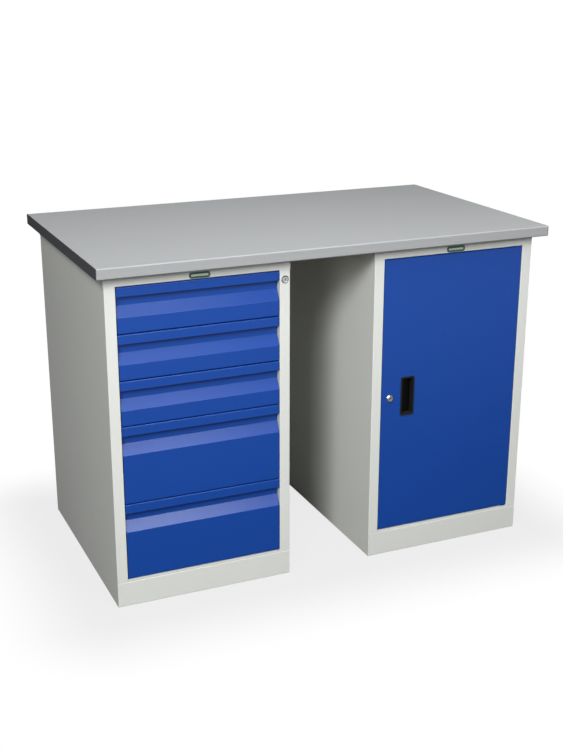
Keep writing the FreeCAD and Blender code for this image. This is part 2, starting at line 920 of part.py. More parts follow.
def make_cupboard():
    floor = floor_panel()
    skirting = plinth()
    lid = pedestal_top()
    floor_hole = pin_hole(plinth_height - body_sheet)
    sill_hole = pin_hole(sill_top - body_sheet)
    skirting_hole = pin_hole(plinth_height - 2 * body_sheet)
    lid_hole = pin_hole(opening_top)
    save_carcass(
        "cupboard",
        cupboard,
        mirrored(side_panel()),
        floor.cut(floor_hole).cut(sill_hole),
        lid.cut(lid_hole),
        skirting.cut(skirting_hole),
    )
    rear_clip = shelf_front + shelf_depth - clip_inset - clip_width
    clips = [shelf_clip(front) for front in (shelf_front + clip_inset, rear_clip)]
    clips += [mirrored(clip) for clip in clips]
    save("cupboard_shelf", [shelf()], cupboard)
    save("cupboard_shelf_clips", clips, cupboard)


make_worktop()
make_drawer_pedestal()
make_drawers()
make_drawer_lock()
make_cupboard()
make_door()
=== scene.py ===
"""Finishes, small fittings and studio stage for a two-pedestal steel workbench."""

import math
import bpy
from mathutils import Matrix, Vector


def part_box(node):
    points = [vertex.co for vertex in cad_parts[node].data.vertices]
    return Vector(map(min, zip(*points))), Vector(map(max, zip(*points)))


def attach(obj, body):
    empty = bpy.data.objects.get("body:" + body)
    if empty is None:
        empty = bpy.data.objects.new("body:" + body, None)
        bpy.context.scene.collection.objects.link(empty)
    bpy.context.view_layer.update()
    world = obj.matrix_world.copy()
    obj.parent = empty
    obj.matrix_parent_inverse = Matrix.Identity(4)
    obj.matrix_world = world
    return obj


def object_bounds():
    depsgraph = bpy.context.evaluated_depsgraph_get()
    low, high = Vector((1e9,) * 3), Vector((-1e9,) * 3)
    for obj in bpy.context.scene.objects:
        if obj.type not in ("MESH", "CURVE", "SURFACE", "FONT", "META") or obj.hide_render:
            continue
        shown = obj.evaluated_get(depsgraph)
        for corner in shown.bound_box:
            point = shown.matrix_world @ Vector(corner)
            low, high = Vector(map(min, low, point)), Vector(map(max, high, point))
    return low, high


bl_info = {
    "name": "Steel Workbench Dressing",
    "version": (1, 0, 0),
    "blender": (4, 5, 0),
    "location": "View3D > Sidebar > Workbench",
    "description": "Paints the workbench, adds its plates and rivets and sets the stage",
    "category": "Object",
}

import bpy
from bpy.props import FloatProperty, FloatVectorProperty, IntProperty, PointerProperty
from mathutils import Euler, Vector

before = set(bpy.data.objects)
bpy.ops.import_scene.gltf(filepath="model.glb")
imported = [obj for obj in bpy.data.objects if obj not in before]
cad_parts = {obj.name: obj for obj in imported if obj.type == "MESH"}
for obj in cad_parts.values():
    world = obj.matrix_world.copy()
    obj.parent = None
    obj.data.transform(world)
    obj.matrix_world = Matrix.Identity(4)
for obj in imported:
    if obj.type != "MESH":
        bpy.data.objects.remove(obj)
cad_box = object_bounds()

DRAWERS = range(1, 6)
PEDESTALS = ("drawer_pedestal", "cupboard")
LAMPS = ("key", "top", "side", "low", "back", "ceiling")

# Sockets of the colour mix node, by number because several share a name
MIX_FACTOR, MIX_A, MIX_B, MIX_RESULT = 0, 6, 7, 2

# Material slots of a rail plate
RIM, ENAMEL, STRIP = range(3)

# Mean level of a noise pattern
MEAN = 0.5

# Length of a normal along a direction from which a face counts as facing it
FACING = 0.9

# Two places nearer than this, in metres, are the same
TOUCHING = 1e-6

# Faces that meet at a smaller angle are shaded as one
SMOOTH_ANGLE = math.radians(30)
RIVET_SMOOTH_ANGLE = math.radians(50)


class Value:
    """A shader socket in an expression: arithmetic on it adds Math nodes."""

    def __init__(self, finish, socket):
        self.finish = finish
        self.socket = socket

    def __add__(self, other):
        return self.finish.maths("ADD", self, other)

    def __radd__(self, other):
        return self.finish.maths("ADD", other, self)

    def __sub__(self, other):
        return self.finish.maths("SUBTRACT", self, other)

    def __rsub__(self, other):
        return self.finish.maths("SUBTRACT", other, self)

    def __mul__(self, other):
        return self.finish.maths("MULTIPLY", self, other)


class Finish:
    """The node tree of a material or of the world, built by expressions."""

    def __init__(self, owner):
        owner.use_nodes = True
        self.owner = owner
        self.tree = owner.node_tree
        self.tree.nodes.clear()

    def node(self, kind, settings=None, inputs=None, output=0):
        """Add a node, with its settings first and then its values and links."""
        made = self.tree.nodes.new(kind)
        for key, value in (settings or {}).items():
            setattr(made, key, value)
        for key, value in (inputs or {}).items():
            if isinstance(value, Value):
                self.tree.links.new(value.socket, made.inputs[key])
            else:
                made.inputs[key].default_value = value
        return Value(self, made.outputs[output]) if made.outputs else None

    def maths(self, operation, first, second=0.0):
        """A Math node on one or two values."""
        return self.node("ShaderNodeMath", {"operation": operation}, {0: first, 1: second})

    def along(self, axis):
        """One of the object coordinates, in metres."""
        where = self.node("ShaderNodeTexCoord", output="Object")
        return self.node("ShaderNodeSeparateXYZ", inputs={"Vector": where}, output=axis)

    def place(self, stretch):
        """Object coordinates in metres, scaled along each axis."""
        where = self.node("ShaderNodeTexCoord", output="Object")
        return self.node("ShaderNodeMapping", inputs={"Vector": where, "Scale": stretch})

    def noise(self, scale, detail=2.0, stretch=(1, 1, 1)):
        """A cloudy pattern in 0 to 1, with a scale in clouds per metre."""
        inputs = {"Vector": self.place(stretch), "Scale": scale, "Detail": detail}
        return self.node("ShaderNodeTexNoise", inputs=inputs)

    def cells(self, scale, stretch=(1, 1, 1)):
        """A pattern of cells, each with a level of its own in 0 to 1."""
        inputs = {"Vector": self.place(stretch), "Scale": scale}
        colours = self.node("ShaderNodeTexVoronoi", {"feature": "F1"}, inputs, "Color")
        return self.node("ShaderNodeSeparateColor", inputs={"Color": colours})

    def between(self, value, start, end):
        """Zero where a value is at its start and before it, one at its end and after it."""
        return self.node("ShaderNodeMapRange", inputs={"Value": value, "From Min": start, "From Max": end})

    def blend(self, first, second, share):
        """The sum of two patterns, with a share for the second one."""
        return first * (1.0 - share) + second * share

    def varied(self, pattern, middle, spread):
        """A level that swings with a pattern around its middle."""
        return middle + (pattern - MEAN) * spread

    def mix(self, factor, first, second):
        """A colour between two colours."""
        inputs = {MIX_FACTOR: factor, MIX_A: first, MIX_B: second}
        return self.node("ShaderNodeMix", {"data_type": "RGBA"}, inputs, MIX_RESULT)

    def tint(self, pattern, colour, first, last):
        """Shades of one colour: a first factor where a pattern is zero, a last one where it is one."""
        return self.mix(pattern, shaded(colour, first), shaded(colour, last))

    def bump(self, height, depth):
        """A surface normal from a height in 0 to 1 that stands for a depth in metres."""
        return self.node("ShaderNodeBump", inputs={"Strength": 1.0, "Distance": depth, "Height": height})

    def surface(self, inputs):
        """End the tree in one surface shader with the given sockets."""
        shader = self.node("ShaderNodeBsdfPrincipled", inputs=inputs)
        self.node("ShaderNodeOutputMaterial", inputs={"Surface": shader})
        return self.owner


def opaque(level):
    """Four colour channels from a grey level or three channels."""
    if isinstance(level, (int, float)):
        return (level, level, level, 1.0)
    return (*level, 1.0)


def shaded(colour, factor):
    """A colour made lighter or darker, as four channels."""
    return opaque([min(1.0, channel * factor) for channel in colour])


def new_finish(name):
    """The empty node tree of a new material."""
    return Finish(bpy.data.materials.new(name))


def powder_coat(name, colour, settings):
    """Baked powder paint: a fine orange-peel skin with dust specks and slightly uneven gloss and shade."""
    finish = new_finish(name)
    peel = finish.noise(1.0 / settings.peel_size, detail=3.0)
    cloud = finish.noise(settings.cloud_scale)
    speck = finish.noise(settings.speck_scale, detail=1.0)
    tint = finish.tint(cloud, colour, 1.0 - settings.shade_spread, 1.0 + settings.shade_spread)
    fleck = finish.between(speck, settings.fleck_edge, settings.fleck_core)
    dust = shaded(colour, settings.fleck_shade)
    return finish.surface({
        "Base Color": finish.mix(fleck * settings.fleck_strength, tint, dust),
        "Roughness": finish.varied(peel, settings.paint_roughness, settings.gloss_spread),
        "Specular IOR Level": settings.paint_shine,
        "Normal": finish.bump(peel, settings.peel_depth),
    })


def rolled_steel(name, colour, settings):
    """Satin sheet steel with the fine lines of rolling, a few dull clouds, and painted shade that darkens
    the folded edges below the top.
    """
    finish = new_finish(name)
    lines = finish.noise(settings.line_scale, detail=4.0, stretch=settings.line_stretch)
    broad = finish.noise(settings.broad_scale, detail=3.0, stretch=settings.line_stretch)
    cloud = finish.noise(settings.stain_scale, detail=3.0)
    sheen = finish.blend(lines, broad, settings.broad_share)
    tint = finish.tint(sheen, colour, 1.0 - settings.line_shade, 1.0 + settings.line_shade)
    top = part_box("worktop_steel_cover")[1].z
    # Painted shade: below the top, the folded edges of the cover are darkened towards black, in place of
    # the shade on the worktop's edge
    folded = finish.between(finish.along("Z"), top - settings.fold_start, top - settings.fold_end)
    gloss = finish.varied(sheen, settings.worktop_roughness, settings.line_gloss)
    return finish.surface({
        "Base Color": finish.mix(folded * settings.edge_painted_shade, tint, opaque(0.0)),
        "Metallic": settings.worktop_metal,
        "Specular IOR Level": settings.worktop_shine,
        "Roughness": finish.varied(cloud, gloss, settings.stain_gloss),
        "Normal": finish.bump(lines, settings.line_depth),
    })


def zinc_plate(name, colour, settings):
    """Bright zinc plating: faint crystal patches and a soft, slightly uneven gloss."""
    finish = new_finish(name)
    patch = finish.cells(settings.spangle_scale)
    haze = finish.noise(settings.haze_scale, detail=3.0)
    return finish.surface({
        "Base Color": finish.tint(patch, colour, first=0.86, last=1.06),
        "Metallic": 1.0,
        "Roughness": finish.varied(haze, middle=0.38, spread=0.16),
        "Normal": finish.bump(haze, depth=0.00001),
    })


def polished_chrome(name, colour):
    """Polished plating with hair-fine wear in its gloss."""
    finish = new_finish(name)
    wear = finish.noise(scale=900.0, detail=3.0)
    return finish.surface({
        "Base Color": finish.tint(wear, colour, first=0.94, last=1.0),
        "Metallic": 1.0,
        "Roughness": finish.varied(wear, middle=0.12, spread=0.10),
    })


def moulded_plastic(name, colour, roughness, shine, grain_size, grain_depth):
    """Moulded plastic with an even leather-fine grain."""
    finish = new_finish(name)
    grain = finish.noise(1.0 / grain_size)
    cloud = finish.noise(scale=30.0)
    return finish.surface({
        "Base Color": finish.tint(cloud, colour, first=0.9, last=1.1),
        "Roughness": finish.varied(grain, roughness, spread=0.12),
        "Specular IOR Level": shine,
        "Normal": finish.bump(grain, grain_depth),
    })


def pull_plastic(name, settings):
    """Grained black plastic, satin on the rim and walls of the cup, with painted shade that makes its
    bottom nearly black.
    """
    finish = new_finish(name)
    mouth, bottom = (corner.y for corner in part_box("door_pull"))
    start = mouth + (bottom - mouth) * settings.cup_start
    end = mouth + (bottom - mouth) * settings.cup_end
    # Painted shade: the colour darkens with depth into the cup, in place of the shade inside the recess
    painted_shade_mask = finish.between(finish.along("Y"), start, end)
    grain = finish.noise(1.0 / settings.pull_grain)
    return finish.surface({
        "Base Color": finish.tint(painted_shade_mask, settings.black, first=1.0, last=settings.cup_painted_shade),
        "Roughness": finish.varied(grain, settings.pull_roughness, spread=0.12),
        "Specular IOR Level": settings.pull_shine,
        "Normal": finish.bump(grain, settings.pull_grain_depth),
    })


def pressed_board(name, colour):
    """Pressed wood chips in two browns, with a rough face."""
    finish = new_finish(name)
    chip = finish.cells(scale=260.0, stretch=(1.0, 2.2, 1.6))
    dust = finish.noise(scale=700.0)
    return finish.surface({
        "Base Color": finish.tint(finish.blend(chip, dust, share=0.25), colour, first=0.66, last=1.22),
        "Roughness": finish.varied(dust, middle=0.82, spread=0.12),
        "Normal": finish.bump(finish.blend(chip, dust, share=0.5), depth=0.0002),
    })


def coat(node_names, material):
    """Give CAD nodes a finish in their own material slots."""
    for name in node_names:
        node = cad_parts[name]
        if not node.material_slots:
            node.data.materials.append(material)
        for material_slot in node.material_slots:
            material_slot.material = material


def start_piece(add, **options):
    """Add a primitive with nothing else selected, and open it for editing."""
    bpy.ops.object.select_all(action="DESELECT")
    add(**options)
    piece = bpy.context.active_object
    bpy.ops.object.transform_apply(location=True, rotation=True, scale=True)
    bpy.ops.object.mode_set(mode="EDIT")
    bpy.ops.mesh.select_all(action="DESELECT")
    return piece


def pick(piece, kind, test):
    """Select the polygons or edges of the open piece that pass a test."""
    bpy.ops.mesh.select_all(action="DESELECT")
    bpy.ops.mesh.select_mode(type="FACE" if kind == "polygons" else "EDGE")
    bpy.ops.object.mode_set(mode="OBJECT")
    found = 0
    for element in getattr(piece.data, kind):
        element.select = test(element)
        found += element.select
    bpy.ops.object.mode_set(mode="EDIT")
    if not found:
        raise RuntimeError("no matching " + kind + " on " + piece.name)


def end_piece(piece, name, materials, angle=SMOOTH_ANGLE):
    """Close the piece for editing, name it and give it its finishes."""
    bpy.ops.mesh.select_all(action="SELECT")
    bpy.ops.mesh.normals_make_consistent(inside=False)
    bpy.ops.object.mode_set(mode="OBJECT")
    bpy.ops.object.shade_smooth_by_angle(angle=angle)
    piece.name = name
    piece.data.name = name
    for material in materials:
        piece.data.materials.append(material)


def copy_of(piece, move):
    """A copy with a mesh of its own, moved in its mesh."""
    twin = piece.copy()
    twin.data = piece.data.copy()
    bpy.context.scene.collection.objects.link(twin)
    for vertex in twin.data.vertices:
        vertex.co += move
    return twin


def join(pieces, name):
    """One object from several like pieces."""
    bpy.ops.object.select_all(action="DESELECT")
    for piece in pieces:
        piece.select_set(True)
    bpy.context.view_layer.objects.active = pieces[0]
    bpy.ops.object.join()
    pieces[0].name = name
    pieces[0].data.name = name
    return pieces[0]


def colour_property(name, description, default):
    """A colour in linear light."""
    return FloatVectorProperty(
        name=name, description=description, default=default, subtype="COLOR", size=3, min=0.0, max=1.0
    )


def place_property(name, description, default):
    """A point of the scene, in metres."""
    return FloatVectorProperty(name=name, description=description, default=default, subtype="TRANSLATION")


def length_property(name, description, default):
    """A length in metres."""
    return FloatProperty(name=name, description=description, default=default, unit="LENGTH", precision=5)


def share_property(name, description, default):
    """A share or level in 0 to 1."""
    return FloatProperty(
        name=name, description=description, default=default, subtype="FACTOR", min=0.0, max=1.0
    )


def scale_property(name, description, default):
    """How often a pattern repeats in a metre."""
    return FloatProperty(name=name, description=description, default=default, min=0.0)


def power_property(name, description, default):
    """The power of a lamp, in watts."""
    return FloatProperty(name=name, description=description, default=default, unit="POWER")


def angle_property(name, description, degrees):
    """An angle, stated in degrees and kept in radians."""
    return FloatProperty(name=name, description=description, default=math.radians(degrees), unit="ROTATION")


def lens_property(name, description, default):
    """A size inside the camera, in millimetres."""
    return FloatProperty(name=name, description=description, default=default, unit="CAMERA")


def number_property(name, description, default):
    """A whole number of like things."""
    return IntProperty(name=name, description=description, default=default, min=1)


class WorkbenchFinishes(bpy.types.PropertyGroup):
    """Colours and grain of the finishes."""

    grey: colour_property("Body grey", "Grey powder coat of carcasses and trays", (0.590, 0.604, 0.572))
    blue: colour_property("Front blue", "Blue powder coat of drawers and door", (0.0047, 0.0465, 0.262))
    steel: colour_property("Worktop steel", "Bare sheet steel of the worktop", (0.332, 0.341, 0.349))
    band: colour_property("End band", "Dark band on the worktop's ends", (0.06, 0.063, 0.067))
    zinc: colour_property("Zinc", "Plating of slides and small hardware", (0.62, 0.64, 0.66))
    chrome: colour_property("Chrome", "Plating of the lock cylinders", (0.5, 0.5, 0.51))
    black: colour_property("Pull black", "Moulded plastic of the door pull", (0.013, 0.0135, 0.013))
    board: colour_property("Board", "Pressed board inside the worktop", (0.42, 0.29, 0.17))
    field: colour_property("Plate field", "Enamel in the blank rail plates", (0.016, 0.092, 0.045))
    strip: colour_property("Plate strip", "Blank strip on the rail plates", (0.50, 0.53, 0.50))
    # Painted shade in the pull's cup: where it starts, where it is full and how dark it gets
    cup_start: share_property("Cup start", "Depth share where the pull darkens", 0.75)
    cup_end: share_property("Cup end", "Depth share where the pull is dead black", 0.9)
    cup_painted_shade: share_property("Cup shade", "Shade of the pull's bottom against its rim", 0.1)
    pull_roughness: share_property("Pull roughness", "Roughness of the pull's plastic", 0.42)
    pull_shine: share_property("Pull shine", "Strength of the pull's reflections", 0.12)
    pull_grain: length_property("Pull grain", "Width of the pull's moulded grain", 0.0008)
    pull_grain_depth: length_property("Pull grain depth", "Depth of the pull's moulded grain", 0.00002)
    peel_size: length_property("Peel size", "Width of the paint's orange-peel bumps", 0.0016)
    peel_depth: length_property("Peel depth", "Height of the paint's orange-peel bumps", 0.00002)
    paint_roughness: share_property("Paint roughness", "Roughness of the paint's skin", 0.3)
    paint_shine: share_property("Paint shine", "Strength of the paint's reflections", 0.3)
    gloss_spread: share_property("Gloss spread", "Change of gloss over the peel", 0.16)
    shade_spread: share_property("Shade spread", "Slow change of the paint's shade", 0.025)
    cloud_scale: scale_property("Cloud scale", "Number of shade clouds per metre", 5.0)
    speck_scale: scale_property("Speck scale", "Number of dust specks per metre", 420.0)
    fleck_core: share_property("Fleck core", "Noise level up to which a speck is full", 0.27)
    fleck_edge: share_property("Fleck edge", "Noise level where a speck ends", 0.33)
    fleck_shade: share_property("Fleck shade", "Shade of a dust speck against the paint", 0.6)
    fleck_strength: share_property("Fleck strength", "How much the dust specks cover", 0.12)
    worktop_metal: share_property("Worktop metal", "Metallic share of the worktop", 0.06)
    worktop_roughness: share_property("Worktop roughness", "Roughness of the worktop's steel", 0.6)
    worktop_shine: share_property("Worktop shine", "Strength of the worktop's reflections", 0.06)
    line_scale: scale_property("Line scale", "Rolling lines per metre", 900.0)
    line_stretch: FloatVectorProperty(
        name="Line stretch",
        description="How the rolling lines run along the bench",
        default=(0.006, 1.0, 1.0),
        subtype="XYZ",
    )
    line_depth: length_property("Line depth", "Depth of the rolling lines", 0.000006)
    line_shade: share_property("Line shade", "Change of shade over the rolling lines", 0.10)
    line_gloss: share_property("Line gloss", "Change of gloss over the rolling lines", 0.16)
    broad_scale: scale_property("Broad scale", "Broad rolling lines per metre", 100.0)
    broad_share: share_property("Broad share", "Share of the broad lines in the sheen", 0.4)
    stain_scale: scale_property("Stain scale", "Dull clouds per metre of worktop", 4.0)
    stain_gloss: share_property("Stain gloss", "Change of gloss over the dull clouds", 0.10)
    # Painted shade on the worktop's folded edges: where it starts, where it is full and how dark it is
    fold_start: length_property("Fold start", "Depth under the top where the folded edge's painted shade starts", 0.002)
    fold_end: length_property("Fold end", "Depth under the top where the folded edge's painted shade is full", 0.0035)
    edge_painted_shade: share_property("Edge painted shade", "Darkness of folded edges", 0.12)
    spangle_scale: scale_property("Spangle scale", "Zinc patches per metre", 160.0)
    haze_scale: scale_property("Haze scale", "Dull clouds per metre of zinc", 64.0)


class WorkbenchPlates(bpy.types.PropertyGroup):
    """Blank plates on the top rails."""

    width: length_property("Width", "Length of a plate along the rail", 0.052)
    height: length_property("Height", "Height of a plate", 0.0145)
    thickness: length_property("Thickness", "How far a plate stands off the rail", 0.0014)
    rise: length_property("Rise", "Height of a plate's middle over the floor", 0.8195)
    corner: length_property("Corner", "Radius of a plate's corners", 0.0062)
    corner_steps: number_property("Corner steps", "Faces around a plate's corner", 10)
    rim: length_property("Rim", "Width of the raised rim", 0.0011)
    sink: length_property("Sink", "Depth of the enamelled field", 0.0004)
    border: length_property("Border", "Width of the enamel around the blank strip", 0.0038)
    grain: length_property("Grain", "Width of the plates' fine grain", 0.0006)
    grain_depth: length_property("Grain depth", "Depth of the plates' fine grain", 0.000008)


class WorkbenchRivets(bpy.types.PropertyGroup):
    """Rivet heads that hold the slides to the trays."""

    diameter: length_property("Diameter", "Width of a rivet head", 0.009)
    height: length_property("Height", "Height of a rivet head", 0.0018)
    sides: number_property("Sides", "Corners around a rivet head", 16)
    rounding: share_property("Rounding", "Share of a head's height that is rounded", 0.8)
    rounding_steps: number_property("Rounding steps", "Faces over the rounding of a head", 3)
    count: number_property("Count", "Rivets along a slide", 3)
    first: length_property("First", "Distance of the first rivet from the tray's front", 0.045)
    pitch: length_property("Pitch", "Distance between rivets along a slide", 0.225)
    rise: length_property("Rise", "Height of the rivets over the tray's bottom edge", 0.0305)
    slide_width: length_property("Slide width", "Thickness of a closed slide", 0.0127)
    rail_step: length_property("Rail step", "How far each rail of a slide stands inside the next", 0.0016)
    tray_sheet: length_property("Tray sheet", "Thickness of the trays' sheet", 0.001)


class WorkbenchStage(bpy.types.PropertyGroup):
    """Camera, lamps, floor and backdrop."""

    eye: place_property("Eye", "Position of the camera", (-1.2571, -2.8787, 1.4845))
    tilt: angle_property("Tilt", "How far the camera looks below level", 18.544)
    turn: angle_property("Turn", "How far the camera looks to the right", 23.595)
    lens: lens_property("Lens", "Focal length", 57.62)
    sensor: lens_property("Sensor", "Width of the camera's sensor", 36.0)
    aim: place_property("Aim", "Point that all lamps face", (0.0, 0.0, 0.45))
    key_place: place_property("Key place", "Position of the main lamp", (0.55, -3.7, 2.2))
    key_power: power_property("Key power", "Power of the main lamp", 54.0)
    key_width: length_property("Key width", "Side of the main lamp's soft box", 0.9)
    top_place: place_property("Top place", "Position of the overhead lamp", (-0.1, -1.15, 2.1))
    top_power: power_property("Top power", "Power of the overhead lamp", 10.0)
    top_width: length_property("Top width", "Side of the overhead lamp", 0.8)
    side_place: place_property("Side place", "Position of the left lamp", (-2.6, -3.3, 3.2))
    side_power: power_property("Side power", "Power of the left lamp", 184.0)
    side_width: length_property("Side width", "Side of the left lamp's soft box", 1.2)
    low_place: place_property("Low place", "Position of the low left lamp", (-3.0, -3.2, 2.0))
    low_power: power_property("Low power", "Power of the low left lamp", 44.0)
    low_width: length_property("Low width", "Side of the low left lamp's soft box", 1.2)
    back_place: place_property("Back place", "Position of the low lamp behind the bench", (2.8, 1.9, 0.75))
    back_power: power_property("Back power", "Power of the lamp behind the bench", 22.4)
    back_width: length_property("Back width", "Side of the back lamp's soft box", 1.4)
    ceiling_place: place_property("Ceiling place", "Position of the ceiling lamp", (0.1, -0.7, 3.2))
    ceiling_power: power_property("Ceiling power", "Power of the ceiling lamp", 31.0)
    ceiling_width: length_property("Ceiling width", "Side of the ceiling lamp", 1.0)
    fill: share_property("Fill", "Light of the backdrop on matt surfaces", 0.01)
    backdrop_gloss: share_property("Backdrop gloss", "Strength of the backdrop in reflections", 0.4)
    # Painted shade in reflections of the floor: dark in front of the bench, full at the gloss reach
    floor_gloss: share_property("Floor gloss", "Strength of the far floor in reflections", 1.0)
    gloss_reach: length_property("Gloss reach", "Distance ahead where the mirrored floor is bright", 3.2)
    floor_width: length_property("Floor width", "Side of the floor", 40.0)
    floor_drop: length_property("Floor drop", "Gap between the floor and the feet", 0.0005)
    # The floor's own glow, dimmed near the bench as a painted shadow
    floor_lift: share_property("Floor lift", "Own light of the floor at the feet", 0.81)
    floor_shade: share_property("Floor shade", "Paleness of the floor", 0.14)
    floor_fade: length_property("Floor fade", "Distance from the bench where the floor turns white", 0.31)


class PaintedOperator:
    """What the operators share: each step can be redone and undone."""

    bl_options = {"REGISTER", "UNDO"}


class WORKBENCH_OT_worktop(PaintedOperator, bpy.types.Operator):
    """Finish the worktop: steel cover, dark end bands, board and screws"""

    bl_idname = "workbench.worktop"
    bl_label = "Worktop"

    def execute(self, context):
        settings = context.scene.workbench_finishes
        coat(["worktop_steel_cover"], rolled_steel("worktop steel", settings.steel, settings))
        band = moulded_plastic(
            "end band", settings.band, roughness=0.6, shine=0.12, grain_size=0.0009, grain_depth=0.00002
        )
        coat(["worktop_end_bands"], band)
        coat(["worktop_core"], pressed_board("pressed board", settings.board))
        coat(["worktop_screws"], zinc_plate("screw zinc", settings.zinc, settings))
        return {"FINISHED"}


class WORKBENCH_OT_carcasses(PaintedOperator, bpy.types.Operator):
    """Finish the grey carcasses, the trays and the shelf"""

    bl_idname = "workbench.carcasses"
    bl_label = "Carcasses"

    def execute(self, context):
        settings = context.scene.workbench_finishes
        paint = powder_coat("grey powder coat", settings.grey, settings)
        for pedestal in PEDESTALS:
            panels = ("left_side", "right_side", "back", "floor", "plinth", "top")
            coat([pedestal + "_" + panel for panel in panels], paint)
        coat(["drawer_%d_tray" % number for number in DRAWERS], paint)
        coat(["cupboard_shelf"], paint)
        return {"FINISHED"}


class WORKBENCH_OT_fronts(PaintedOperator, bpy.types.Operator):
    """Finish the blue drawer fronts and the door"""

    bl_idname = "workbench.fronts"
    bl_label = "Drawer fronts and door"

    def execute(self, context):
        settings = context.scene.workbench_finishes
        paint = powder_coat("blue powder coat", settings.blue, settings)
        coat(["drawer_%d_front" % number for number in DRAWERS], paint)
        coat(["door_panel", "door_stiffener", "door_hinge_bushes"], paint)
        return {"FINISHED"}


class WORKBENCH_OT_hardware(PaintedOperator, bpy.types.Operator):
    """Finish slides, posts, lock parts, clips, pins and the door pull"""

    bl_idname = "workbench.hardware"
    bl_label = "Hardware"

    def execute(self, context):
        settings = context.scene.workbench_finishes
        zinc = zinc_plate("zinc plate", settings.zinc, settings)
        chrome = polished_chrome("lock chrome", settings.chrome)
        coat(["drawer_pedestal_runner_posts", "drawer_pedestal_cabinet_rails"], zinc)
        coat(["drawer_%d_middle_rails" % number for number in DRAWERS], zinc)
        coat(["drawer_%d_inner_rails" % number for number in DRAWERS], zinc)
        coat(["drawer_lock_" + part for part in ("nut", "crank", "bar", "guides")], zinc)
        coat(["door_lock_nut", "door_lock_cam", "door_hinge_pins", "cupboard_shelf_clips"], zinc)
        for lock in ("drawer_lock", "door_lock"):
            coat([lock + "_barrel", lock + "_plug"], chrome)
        coat(["door_pull"], pull_plastic("black pull", settings))
        return {"FINISHED"}


class WORKBENCH_OT_rail_plates(PaintedOperator, bpy.types.Operator):
    """Make the two blank plates on the top rails"""

    bl_idname = "workbench.rail_plates"
    bl_label = "Rail plates"

    def execute(self, context):
        sizes = context.scene.workbench_plates
        finishes = context.scene.workbench_finishes
        grain = {"grain_size": sizes.grain, "grain_depth": sizes.grain_depth}
        rim = moulded_plastic("plate rim", finishes.band, roughness=0.4, shine=0.2, **grain)
        strip = moulded_plastic("plate strip", finishes.strip, roughness=0.4, shine=0.3, **grain)
        enamel = moulded_plastic("plate enamel", finishes.field, roughness=0.3, shine=0.4, **grain)
        for pedestal in PEDESTALS:
            low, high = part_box(pedestal + "_top")
            plate = start_piece(
                bpy.ops.mesh.primitive_cube_add,
                size=1.0,
                location=((low.x + high.x) / 2, low.y - sizes.thickness / 2, sizes.rise),
                scale=(sizes.width, sizes.thickness, sizes.height),
            )
            self.shape(plate, sizes)
            end_piece(plate, pedestal + "_rail_plate", [rim, enamel, strip])
            for face in plate.data.polygons:
                face.material_index = self.layer(face, low.y - sizes.thickness, sizes)
            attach(plate, "bench")
        return {"FINISHED"}

    def shape(self, plate, sizes):
        """Round the open plate's corners, sink its field and raise the strip by half as much."""
        pick(plate, "edges", lambda edge: self.runs_back(plate, edge))
        bpy.ops.mesh.bevel(offset=sizes.corner, segments=sizes.corner_steps, affect="EDGES")
        pick(plate, "polygons", lambda face: face.normal.y < -FACING)
        bpy.ops.mesh.inset(thickness=sizes.rim)
        bpy.ops.mesh.extrude_region_move(TRANSFORM_OT_translate={"value": (0.0, sizes.sink, 0.0)})
        bpy.ops.mesh.inset(thickness=sizes.border)
        bpy.ops.mesh.extrude_region_move(TRANSFORM_OT_translate={"value": (0.0, -sizes.sink / 2, 0.0)})

    def runs_back(self, plate, edge):
        """Whether an edge runs from the plate's front to its back."""
        start, end = (plate.data.vertices[index].co for index in edge.vertices)
        return abs(start.y - end.y) > TOUCHING

    def layer(self, face, front, sizes):
        """Which finish a face takes, by its depth behind the plate's front."""
        depth = face.center.y - front
        if face.normal.y > -FACING or depth < sizes.sink / 4:
            return RIM
        return ENAMEL if depth > sizes.sink * 3 / 4 else STRIP


class WORKBENCH_OT_tray_rivets(PaintedOperator, bpy.types.Operator):
    """Make the rivet heads inside the drawer trays"""

    bl_idname = "workbench.tray_rivets"
    bl_label = "Tray rivets"

    def execute(self, context):
        sizes = context.scene.workbench_rivets
        finishes = context.scene.workbench_finishes
        zinc = zinc_plate("rivet zinc", finishes.zinc, finishes)
        for number in DRAWERS:
            self.make_rows(number, sizes, zinc)
        return {"FINISHED"}

    def make_rows(self, number, sizes, zinc):
        """The rivet heads along both walls of a tray, as one piece."""
        heads = [self.make_head(number, side, sizes, zinc) for side in (1, -1)]
        rivets = list(heads)
        for head in heads:
            for step in range(1, sizes.count):
                rivets.append(copy_of(head, Vector((0.0, sizes.pitch * step, 0.0))))
        row = join(rivets, "drawer_%d_rivets" % number)
        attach(row, "drawer_%d" % number)

    def make_head(self, number, side, sizes, zinc):
        """The first rivet head on a wall: side is 1 for the left wall and -1 for the right one."""
        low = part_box("drawer_%d_tray" % number)[0]
        wall = self.wall(number, side, sizes)
        head = start_piece(
            bpy.ops.mesh.primitive_cylinder_add,
            vertices=sizes.sides,
            radius=sizes.diameter / 2,
            depth=sizes.height,
            location=(wall + side * sizes.height / 2, low.y + sizes.first, low.z + sizes.rise),
            rotation=(0.0, math.pi / 2, 0.0),
        )
        top = wall + side * sizes.height
        pick(head, "edges", lambda edge: self.on_level(head, edge, top))
        bpy.ops.mesh.bevel(
            offset=sizes.height * sizes.rounding, segments=sizes.rounding_steps, affect="EDGES"
        )
        end_piece(head, "drawer_%d_rivet" % number, [zinc], RIVET_SMOOTH_ANGLE)
        return head

    def wall(self, number, side, sizes):
        """Inner face of a tray's wall, which stands on the inner rail of its slide."""
        low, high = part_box("drawer_%d_inner_rails" % number)
        inward = sizes.slide_width - 2 * sizes.rail_step + sizes.tray_sheet
        return low.x + inward if side > 0 else high.x - inward

    def on_level(self, head, edge, level):
        """Whether both ends of an edge lie at a level along X."""
        return all(abs(head.data.vertices[index].co.x - level) < TOUCHING for index in edge.vertices)


